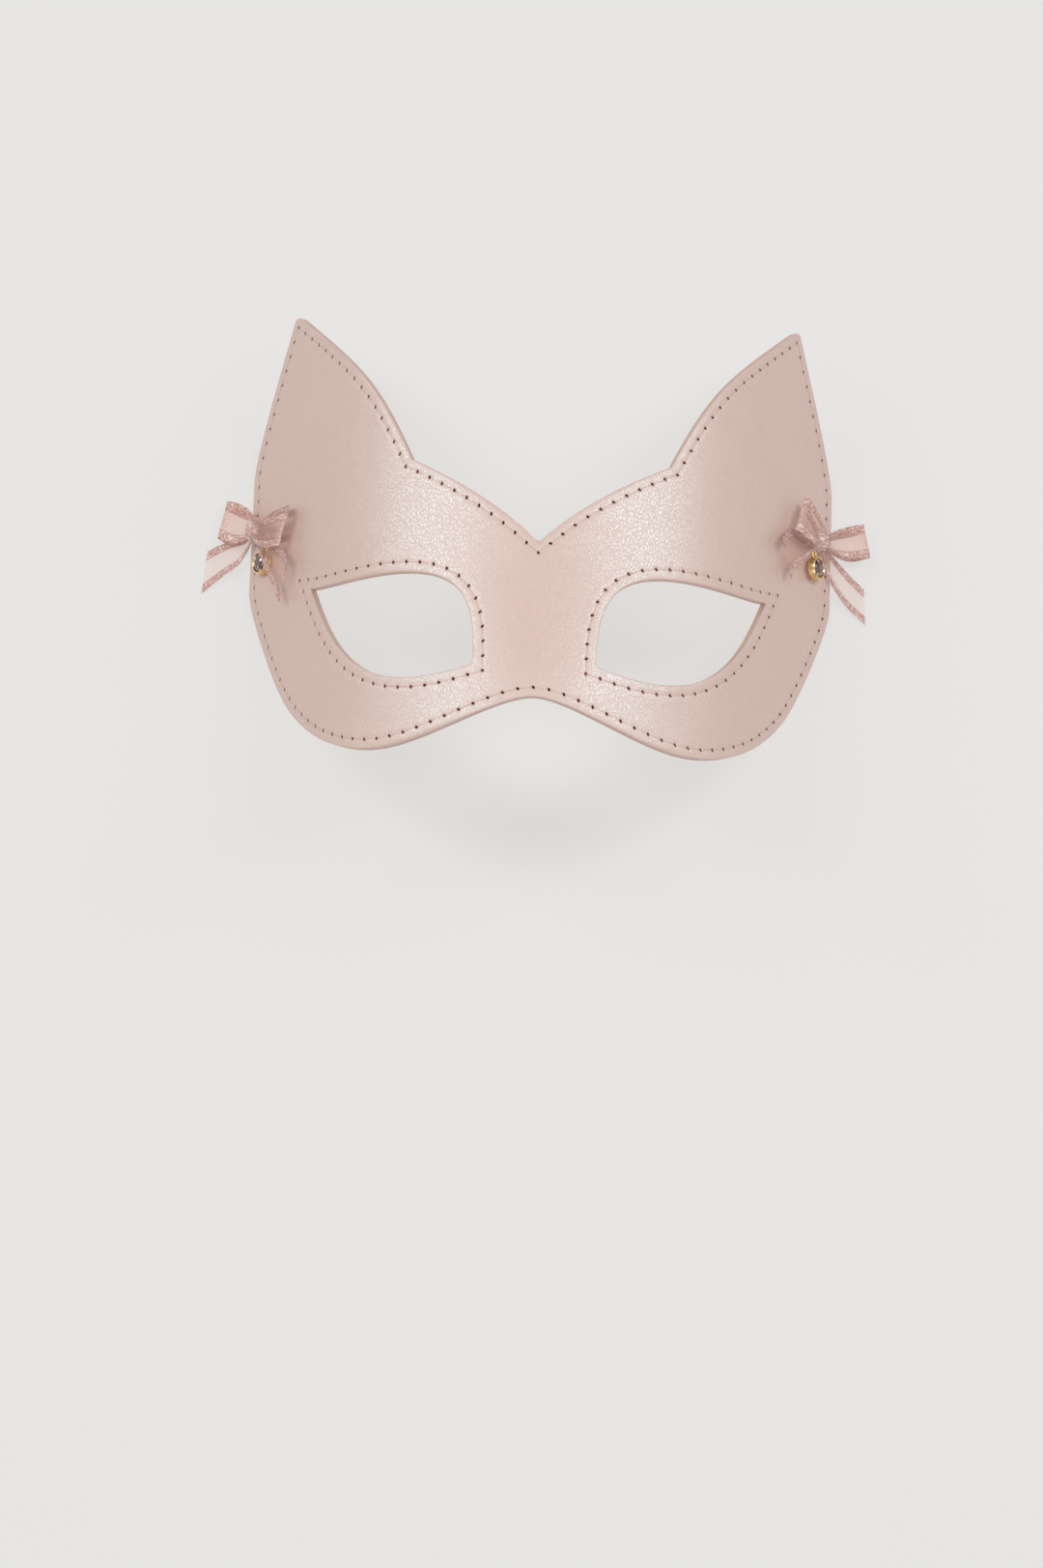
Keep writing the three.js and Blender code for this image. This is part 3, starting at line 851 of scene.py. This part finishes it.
def slab(surface, fold):
    """A closed thin ribbon about a grid of points, rows along it and columns across: each point moved
    both ways along the grid's normal. Returns points, faces, a map in millimetres and the fold mark."""
    rows, columns = surface.shape[:2]
    normal = unit(np.cross(np.gradient(surface, axis=1), np.gradient(surface, axis=0)))
    thick = HALF_THICKNESS[:, None]
    ring = np.concatenate([surface + normal * thick, (surface - normal * thick)[:, ::-1]], axis=1)
    steps = np.linalg.norm(np.diff(surface, axis=0), axis=2)
    along = np.concatenate([np.zeros((1, columns)), np.cumsum(steps, axis=0)])
    across = np.broadcast_to(ACROSS * RIBBON_WIDTH / 2, along.shape)
    flat = np.stack([across, along], -1)
    flat = np.concatenate([flat, flat[:, ::-1]], axis=1)
    k = np.arange(columns - 1)
    cap = np.stack([k, 2 * columns - 1 - k, 2 * columns - 2 - k, k + 1], -1)
    last = (rows - 1) * 2 * columns
    faces = np.concatenate([grid_faces(rows, 2 * columns, wrap_columns=True), cap, last + cap[:, ::-1]])
    fold = np.broadcast_to(fold[:, None], (rows, 2 * columns))
    return ring.reshape(-1, 3), faces, flat.reshape(-1, 2), fold.reshape(-1)


def loop(lay, low, high, heights, puff, peek=(0, 0)):
    """A loop runs out from the knot and back behind itself: half a cosine along its two selvedges, and
    a power of a sine apart, over a height that goes from the knot's to the fold's by a quarter sine.
    The layer behind can lie aside by a peek. The fold mark, which brings painted glints, is high where
    the loop turns back and where it enters the knot."""
    turn = np.linspace(0, 2 * math.pi, 97)
    reach = (1 - np.cos(turn)) / 2
    rows, pleats = between(through(low, reach), through(high, reach))
    apart = (np.sign(np.sin(turn)) * np.abs(np.sin(turn)) ** 0.8)[:, None]
    level = heights[0] + (heights[1] - heights[0]) * np.sin(math.pi / 2 * reach)[:, None]
    crown = 0.25 * (1 - ACROSS**2) * apart + 0.1 * np.sin(3 * ACROSS + turn[:, None])
    behind = (smooth((turn / (2 * math.pi) - 0.45) / 0.1) * smooth((reach - 0.1) / 0.5))[:, None, None]
    places = lay(rows + behind * numbers(*peek), level + puff * apart + crown + pleats)
    return slab(places, reach**12 + 0.4 * (1 - reach) ** 6)


def tail(lay, low, high):
    """A tail runs from the knot to its cut end between two selvedges, whose places have a height each,
    with a slow ripple. The fold mark, which brings painted glints, fades away from the knot."""
    share = np.linspace(0, 1, 61)
    rows, pleats = between(through(low, share), through(high, share))
    ripple = 0.14 * np.sin(2.4 * ACROSS + 7 * share[:, None]) * share[:, None]
    return slab(lay(rows[..., :2], rows[..., 2] + pleats + ripple), 0.4 * (1 - share) ** 3)


def knot(centre, facing, lean, half):
    """The knot is a band round the gathered middle: an ellipse round the waist, with half sizes along
    it, up it and out of it, that narrows to its ends by a fourth power, with slanting pleats as a
    cosine. Its map stays inside the satin band."""
    waist = unit(np.cross(numbers(0, 1, 0), facing))
    up = np.cross(facing, waist)
    waist, up = (
        waist * math.cos(lean) + up * math.sin(lean), up * math.cos(lean) - waist * math.sin(lean)
    )
    turn = np.linspace(0, 2 * math.pi, 64, endpoint=False)[None]
    v = np.linspace(-1, 1, 33)[:, None]
    swell = 1 - 0.4 * v**4 + 0.08 * np.cos(8 * (v + 0.35 * np.sin(turn + 0.5)))
    place = (
        centre
        + waist * (half[0] * v * np.ones_like(turn))[..., None]
        + up * (half[1] * swell * np.cos(turn))[..., None]
        + facing * (half[2] * swell * np.sin(turn))[..., None]
    )
    rows, columns = place.shape[:2]
    flat = np.stack(np.broadcast_arrays(4.1 + 0.7 * v, turn * 3), -1).reshape(-1, 2)
    faces = grid_faces(rows, columns, wrap_columns=True)[:, ::-1]
    ends = np.stack([np.arange(columns), (rows - 1) * columns + np.arange(columns)[::-1]])
    return place.reshape(-1, 3), faces, flat, np.full(len(flat), KNOT_FOLD_AND_GLINTS), ends


def bow(name, node, side, knot_at, lean, half, inner_loop, outer_loop, inner_tail, outer_tail):
    """Two loops, two tails and a knot in one piece of ribbon. The inner ones are laid out on the
    pattern of the wing with heights above it, and the outer ones, beyond the edge, above the floor."""
    wing = numbers(side * math.sin(WING_ANGLE), 0, math.cos(WING_ANGLE))

    def on_wing(flat, height):
        return on_leather(flat * (side, 1), height)

    def on_floor(flat, height):
        return np.concatenate([flat * (side, 1), height[..., None]], -1)

    *place, height = knot_at
    centre = on_wing(numbers(*place), np.array(height))
    *middle, ends = knot(centre, wing, lean, half)
    strips = [
        loop(on_wing, **inner_loop),
        loop(on_floor, **outer_loop),
        tail(on_wing, **inner_tail),
        tail(on_floor, **outer_tail),
        middle,
    ]
    # A strip laid out on the left is a mirror image, so its faces are turned round to point outwards.
    if side < 0:
        strips[:4] = [(points, faces[:, ::-1], *rest) for points, faces, *rest in strips[:4]]
    starts = np.cumsum([0] + [len(strip[0]) for strip in strips])
    faces = np.concatenate([start + strip[1] for start, strip in zip(starts, strips)])
    points = np.concatenate([strip[0] for strip in strips])
    flat = np.concatenate([strip[2] for strip in strips]) / UV_UNIT
    fold = {"fold": np.concatenate([strip[3] for strip in strips])}
    piece = make_piece(name, points, [faces, starts[-2] + ends], rose_ribbon, flat, fold, sharp=60)
    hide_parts(node)


bow(
    "ribbon_left", "bow_left", -1, (98.0, 24.8, 2.8), 0.3, (2.3, 3.2, 2.0),
    inner_loop={
        "low": [(98.6, 23.2), (95.5, 20.4), (90.1, 17.3), (83.6, 16.6)],
        "high": [(98.2, 26.6), (95.0, 26.8), (89, 25.6), (80.2, 25.2)],
        "heights": (3.0, 3.0),
        "puff": 1.6,
        "peek": (0.6, 3.0),
    },
    outer_loop={
        "low": [(79.4, 5.0), (81.7, 3.4), (85, 2.9), (89.3, 4.9)],
        "high": [(79.0, 8.1), (79.9, 11.5), (83.1, 14.2), (87.1, 15.6)],
        "heights": (5.6, 2.9),
        "puff": 1.4,
    },
    inner_tail={
        "low": [
            (98.6, 22.6, 2.0), (96.3, 20.0, 2.4), (92.6, 14.6, 3.2), (86.5, 6.1, 3.2),
            (83.4, 0.6, 3.0),
        ],
        "high": [
            (96.6, 23.4, 2.0), (88.5, 18.6, 2.4), (83.7, 16.2, 2.8), (79.8, 12.2, 3.2),
            (80.2, 9.4, 3.0),
        ],
    },
    outer_tail={
        "low": [
            (79.4, 4.2, 5.4), (80.9, 1.2, 3.4), (83.0, -2.1, 2.2), (87.4, -5.5, 1.2),
            (93.2, -10.5, 0.7),
        ],
        "high": [(80.0, 5.3, 5.0), (83.5, 4.8, 2.4), (87.0, 4.0, 1.5), (92.0, 1.7, 0.9)],
    },
)
bow(
    "ribbon_right", "bow_right", 1, (93.4, 25.4, 2.8), -0.1, (2.3, 2.9, 2.0),
    inner_loop={
        "low": [(93.4, 24.4), (91.0, 23.2), (88.0, 23.1), (84.4, 23.8), (81.2, 25.2)],
        "high": [(94.4, 26.8), (93.4, 28.6), (91.6, 30.9), (88.8, 33.5), (85.8, 35.9)],
        "heights": (3.1, 3.2),
        "puff": 1.25,
    },
    outer_loop={
        "low": [(78.3, 6.2), (80.2, 4.8), (84.0, 3.8), (90.9, 5.2)],
        "high": [(78.2, 8.2), (79.8, 10.3), (84.1, 12.9), (88.8, 14.6)],
        "heights": (8.4, 3.0),
        "puff": 1.4,
    },
    inner_tail={
        "low": [
            (94.0, 23.4, 2.0), (89.0, 20.2, 2.6), (85.9, 17.3, 3.0), (81.3, 13.6, 3.0),
            (80.3, 10.9, 2.8),
        ],
        "high": [(93.6, 25.2, 1.6), (88, 25.6, 1.0), (80.6, 25.6, 1.6), (75.2, 21.3, 2.8)],
    },
    outer_tail={
        "low": [
            (77.2, 5.8, 7.6), (78.2, 1.3, 5.6), (80.3, -3.2, 3.4), (83.9, -8.1, 1.6),
            (89.9, -13.5, 0.7),
        ],
        "high": [(78.2, 6.1, 7.4), (81.1, 4.1, 3.8), (85.1, 0.3, 1.9), (89.3, -3.4, 0.8)],
    },
)

# The hanging crystals.
SETTING_FROM_LEATHER = 0.3
SETTING_RADIUS = 3.3
SETTING_WALL = 0.55
SETTING_FLOOR = 0.6
SETTING_HEIGHT = 2.2
LUG_RADIUS = 0.9
LUG_WIRE = 0.3
PENDANT_TURN = 0.35
# Each pendant's side, its place on the flat pattern and how far it leans out from the wing.
LEFT_PENDANT = (-1, (94.9, 14.7), 0.0)
RIGHT_PENDANT = (1, (93.1, 17.6), 0.14)
CRYSTAL_SIDES = 12


def turned(profile, sides):
    """A profile of radius and height carried round the upright axis, and flat ends."""
    profile = numbers(*profile)
    turn = np.linspace(0, 2 * math.pi, sides, endpoint=False)
    radius, height = profile[:, :1], profile[:, 1:]
    points = np.stack(np.broadcast_arrays(radius * np.cos(turn), radius * np.sin(turn), height), -1)
    ends = np.stack([np.arange(sides)[::-1], (len(profile) - 1) * sides + np.arange(sides)])
    return points.reshape(-1, 3), grid_faces(len(profile), sides, wrap_columns=True), ends


def ring(radius, wire, centre, around=40, sides=14):
    """A wire ring: a small circle carried round a large one."""
    a = np.linspace(0, 2 * math.pi, around, endpoint=False)[:, None]
    b = np.linspace(0, 2 * math.pi, sides, endpoint=False)[None]
    reach = radius + wire * np.cos(b)
    points = np.stack(np.broadcast_arrays(reach * np.cos(a), reach * np.sin(a), wire * np.sin(b)), -1)
    return points.reshape(-1, 3) + centre, grid_faces(around, sides, True, True)[:, ::-1]


def hung(points, side, place, leaning):
    """Points about the pendant's own foot, turned with the wing and set down on the leather, or on
    its outer rim where it leans."""
    a, b = side * (WING_ANGLE + leaning), side * PENDANT_TURN
    lean = numbers((math.cos(a), 0, math.sin(a)), (0, 1, 0), (-math.sin(a), 0, math.cos(a)))
    spin = numbers((math.cos(b), -math.sin(b), 0), (math.sin(b), math.cos(b), 0), (0, 0, 1))
    height = SETTING_FROM_LEATHER + SETTING_RADIUS * math.sin(leaning)
    foot = on_leather(numbers(side * place[0], place[1]), np.array(height))
    return points @ (lean @ spin).T + foot


def setting(name, node, side, place, leaning):
    """A round cup with a rolled lip, and a wire lug towards the knot."""
    r, h, w = SETTING_RADIUS, SETTING_HEIGHT, SETTING_WALL
    lip = np.linspace(0, math.pi, 9)
    rolled = [(r - w / 2 + w / 2 * math.cos(a), h - w / 2 + w / 2 * math.sin(a)) for a in lip]
    profile = [
        (0.3, 0), (r - 0.6, 0), (r - 0.25, 0.08), (r - 0.06, 0.3), (r, 0.55),
        *rolled,
        (r - w, SETTING_FLOOR + 0.15), (r - w - 0.15, SETTING_FLOOR), (0.3, SETTING_FLOOR),
    ]
    cup, cup_faces, ends = turned(profile, 72)
    lug, lug_faces = ring(LUG_RADIUS, LUG_WIRE, (0, r + LUG_RADIUS - LUG_WIRE / 2, h / 2))
    points = hung(np.concatenate([cup, lug]), side, place, leaning)
    piece = make_piece(name, points, [cup_faces, ends, len(cup) + lug_faces], gold, sharp=50)
    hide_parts(node)


def crystal(name, node, side, place, leaning, seed):
    """A cut crystal: rings of corners at the foot, girdle, crown and table, each ring turned half a
    step from the next, joined by flat triangles, each with its own painted flash of reflected light."""
    girdle = SETTING_RADIUS - SETTING_WALL - 0.08
    top = SETTING_HEIGHT - 0.35
    rings = [
        (girdle * 0.8, SETTING_FLOOR + 0.1),
        (girdle, top),
        (girdle * 0.78, top + 0.5),
        (girdle * 0.5, top + 0.85),
    ]
    sides = CRYSTAL_SIDES
    here = np.arange(sides)
    turn = 2 * math.pi * here / sides
    points = []
    for k, (radius, height) in enumerate(rings):
        angle = turn + k * math.pi / sides
        corners = [radius * np.cos(angle), radius * np.sin(angle), np.full(sides, height)]
        points.append(np.stack(corners, -1))
    points = np.concatenate(points)
    after = (here + 1) % sides
    facets = []
    for k in range(len(rings) - 1):
        low, high = k * sides, (k + 1) * sides
        facets.append(np.stack([low + here, low + after, high + here], -1))
        facets.append(np.stack([high + here, low + after, high + after], -1))
    facets = np.concatenate(facets)
    ends = np.stack([here[::-1], here + (len(rings) - 1) * sides])
    rng = np.random.default_rng(seed)
    # Painted reflection: a random pale flash for each facet, none on the foot and a faint one on the
    # table.
    painted_flash = {"painted_flash": np.concatenate([rng.random(len(facets)) ** 1.7, [0.0, 0.12]])}
    points = hung(points, side, place, leaning)
    piece = make_piece(name, points, [facets, ends], smoky_crystal, None, painted_flash, 0, "FACE")
    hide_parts(node)


setting("bezel_left", "setting_left", *LEFT_PENDANT)
setting("bezel_right", "setting_right", *RIGHT_PENDANT)
crystal("stone_left", "crystal_left", *LEFT_PENDANT, 3)
crystal("stone_right", "crystal_right", *RIGHT_PENDANT, 8)


# Floor and light.
FLOOR_HALF = 4  # metres
FLOOR_COLOUR = shade(130, 129, 128)
FLOOR_GLOW = scaled(shade(230, 229, 227), 0.7)
AMBIENT = 0.27
LIGHT_DISTANCE = 1.3
# Each light's turn from straight up to the side and to the ears in degrees, its size in metres, its
# power in watts and whether it casts shadows. Two fills without shadows keep the floor pale.
LIGHTS = {
    "light_left": (-45, 17, (0.3, 0.95), 6.0, True),
    "light_right": (43, 17, (0.3, 0.95), 6.0, True),
    "light_ears": (0, 50, (1.2, 0.5), 0.6, True),
    "fill_chin": (0, -42, (1.2, 0.6), 5.6, False),
    "fill_top": (0, -5, (1.2, 1.2), 3.2, False),
}


def floor_finish():
    """Matt pale paper with the faintest mottle, and a glow of its own that keeps its shadows pale."""
    f = Finish("pale_paper")
    mottle = f.noise(f.node("TexCoord", None, None, "Object"), 0.05, 3)
    tone = f.mixed(mottle, FLOOR_COLOUR, scaled(FLOOR_COLOUR, 0.985))
    return f.surface(
        tone, 0.9, Specular_IOR_Level=0.1, Emission_Color=(*FLOOR_GLOW, 1), Emission_Strength=1.0
    )


def make_floor():
    """One flat sheet under the mask."""
    mesh = bpy.data.meshes.new("floor")
    corners = [(FLOOR_HALF * x, FLOOR_HALF * y, 0) for x, y in ((-1, -1), (1, -1), (1, 1), (-1, 1))]
    mesh.from_pydata(corners, [], [(0, 1, 2, 3)])
    mesh.materials.append(floor_finish())
    floor = bpy.data.objects.new("floor", mesh)
    bpy.context.scene.collection.objects.link(floor)


def make_light(name, aside, ahead, size, power, shadow):
    """A soft rectangular light that looks at the mask."""
    data = bpy.data.lights.new(name, "AREA")
    data.shape = "RECTANGLE"
    data.size, data.size_y = size
    data.energy = power
    data.use_shadow = shadow
    light = bpy.data.objects.new(name, data)
    a, b = math.radians(aside), math.radians(ahead)
    way = Vector((math.sin(a) * math.cos(b), math.sin(b), math.cos(a) * math.cos(b)))
    light.rotation_euler = way.to_track_quat("Z", "Y").to_euler()
    light.location = way * LIGHT_DISTANCE
    bpy.context.scene.collection.objects.link(light)


make_floor()
for name, facts in LIGHTS.items():
    make_light(name, *facts)
world = bpy.data.worlds.new("studio")
world.use_nodes = True
background = world.node_tree.nodes["Background"]
background.inputs["Color"].default_value = (1, 1, 1, 1)
background.inputs["Strength"].default_value = AMBIENT
bpy.context.scene.world = world
bpy.context.scene.view_settings.view_transform = "Standard"
bpy.context.scene.view_settings.look = "None"
